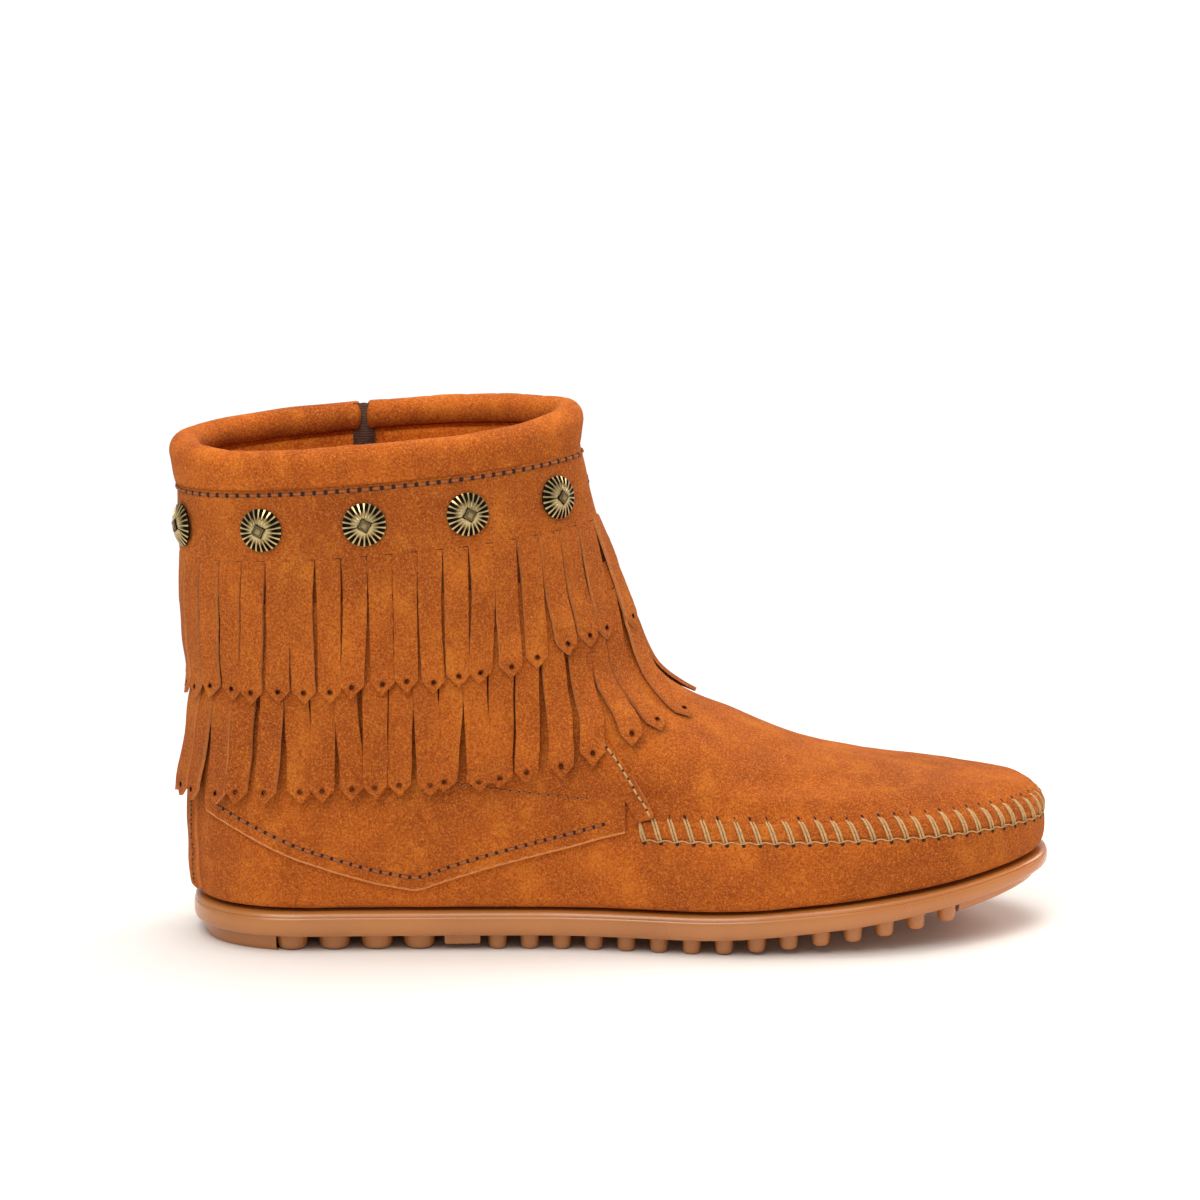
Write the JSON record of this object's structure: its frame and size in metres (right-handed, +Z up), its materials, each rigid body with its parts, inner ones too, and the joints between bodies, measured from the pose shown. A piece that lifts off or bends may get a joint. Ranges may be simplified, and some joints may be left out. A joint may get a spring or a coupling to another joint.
{
  "type": "moccasin boot",
  "caption": "Suede moccasin ankle boot with two fringe tiers, domed metal discs, a rolled collar, a side zip and a pebbled rubber sole.",
  "frame": {"origin": "on the flat underside of the heel plate, 13.4 mm ahead of the back of the sole", "axes": "+X to the toe, +Z up, -Y the lateral side, +Y the medial side with the zip"},
  "size_m": [0.2568, 0.087, 0.1561],
  "materials": {
    "suede": "brushed suede nap",
    "gum_sole": "smooth gum rubber",
    "sole_board": "plain sock lining",
    "concho_brass": "antiqued brass",
    "zip_brass": "antiqued brass",
    "zip_tape_cloth": "woven tape"
  },
  "bodies": {
    "boot": {"outsole": "gum_sole", "insole": "sole_board", "upper": "suede", "quarter_lateral": "suede", "quarter_medial": "suede", "front_strip_lateral": "suede", "front_strip_medial": "suede", "heel_strip": "suede", "plug_seam": "suede", "fringe_lower": "suede", "fringe_upper": "suede", "collar_roll": "suede", "concho_01": "concho_brass", "concho_02": "concho_brass", "concho_03": "concho_brass", "concho_04": "concho_brass", "concho_05": "concho_brass", "concho_06": "concho_brass", "concho_07": "concho_brass", "concho_08": "concho_brass", "concho_09": "concho_brass", "zip_tape": "zip_tape_cloth", "zip_slider": "zip_brass"},
    "zip_pull_tab": {"zip_pull": "zip_brass"}
  },
  "joints": [
    {"name": "zip_pull_hinge", "type": "hinge", "parent": "boot", "child": "zip_pull_tab", "pos_m": [0.038, 0.0347, 0.13485], "axis": [1, 0, 0], "range_deg": [0, 140]}
  ]
}
